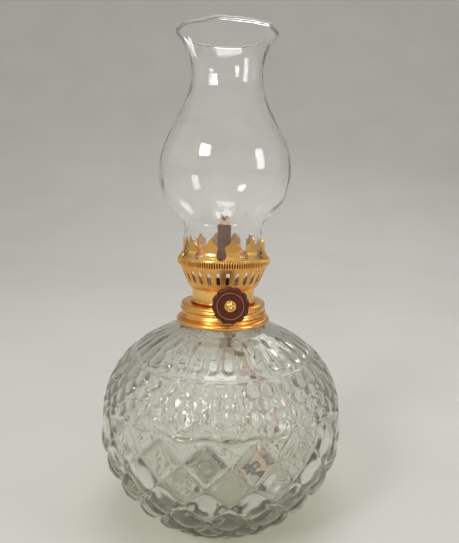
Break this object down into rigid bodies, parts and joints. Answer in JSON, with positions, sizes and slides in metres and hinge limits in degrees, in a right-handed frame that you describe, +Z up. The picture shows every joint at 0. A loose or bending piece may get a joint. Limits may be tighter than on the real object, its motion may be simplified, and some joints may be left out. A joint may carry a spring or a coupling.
{
  "type": "oil lamp",
  "caption": "Small oil lamp: round pressed-glass font, screw-on brass burner with a round wick and side knob, pronged gallery and a clear bulged glass chimney.",
  "frame": {"origin": "centre of the flat foot, on the surface the lamp stands on", "axes": "+Z up the lamp's axis through the chimney, -Y towards the wick knob, +X to the right as the knob is faced"},
  "size_m": [0.1006, 0.1006, 0.198],
  "materials": {
    "pressed_glass": "fire-polished pressed glass, faint green-grey tint",
    "chimney_glass": "thin blown glass",
    "gilt_brass": "bright gold-coloured plating on pressed brass",
    "inner_plating": "tinned",
    "tube_bronze": "dark bronzed, glossy",
    "plain_steel": "satin",
    "knob_plastic": "moulded, glossy dark maroon",
    "wick_cotton": "braided cotton, charred at the tip",
    "gasket_rubber": "matt"
  },
  "bodies": {
    "font": {"font": "pressed_glass"},
    "gasket": {"cap_gasket": "gasket_rubber"},
    "burner": {"screw_cap": "gilt_brass", "burner_drum": "gilt_brass", "wick_plate": "gilt_brass", "air_basket": "gilt_brass", "gallery_ring": "gilt_brass", "crown": "gilt_brass", "deck_plate": "inner_plating", "wick_tube": "tube_bronze", "tube_ferrule": "gilt_brass", "wheel_bracket": "gilt_brass", "shaft_bush": "gilt_brass"},
    "knob": {"knob": "knob_plastic", "knob_washer": "gilt_brass", "knob_rivet": "gilt_brass", "adjuster_shaft": "plain_steel", "feed_wheel": "plain_steel", "shaft_washer": "plain_steel"},
    "wick": {"wick": "wick_cotton", "wick_tail": "wick_cotton"},
    "chimney": {"chimney": "chimney_glass"}
  },
  "joints": [
    {"name": "burner_rise", "type": "slide", "parent": "font", "child": "gasket", "axis": [0, 0, 1], "range_m": [0, 0.0061]},
    {"name": "burner_unscrew", "type": "hinge", "parent": "gasket", "child": "burner", "pos_m": [0, 0, 0.088], "axis": [0, 0, 1], "range_deg": [0, 720]},
    {"name": "knob_turn", "type": "hinge", "parent": "burner", "child": "knob", "pos_m": [0.0042, 0, 0.0957], "axis": [0, 1, 0], "range_deg": [-180, 180]},
    {"name": "wick_feed", "type": "slide", "parent": "burner", "child": "wick", "axis": [0, 0, 1], "range_m": [-0.0066, 0.0066], "deforming": ["wick_tail"]},
    {"name": "chimney_lift", "type": "slide", "parent": "burner", "child": "chimney", "axis": [0, 0, 1], "range_m": [0, 0.06]}
  ],
  "couplings": [
    {"joint": "burner_rise", "follows": "burner_unscrew", "m_per_rad": 0.00047746},
    {"joint": "knob_turn", "follows": "wick_feed", "rad_per_m": 454.55}
  ]
}
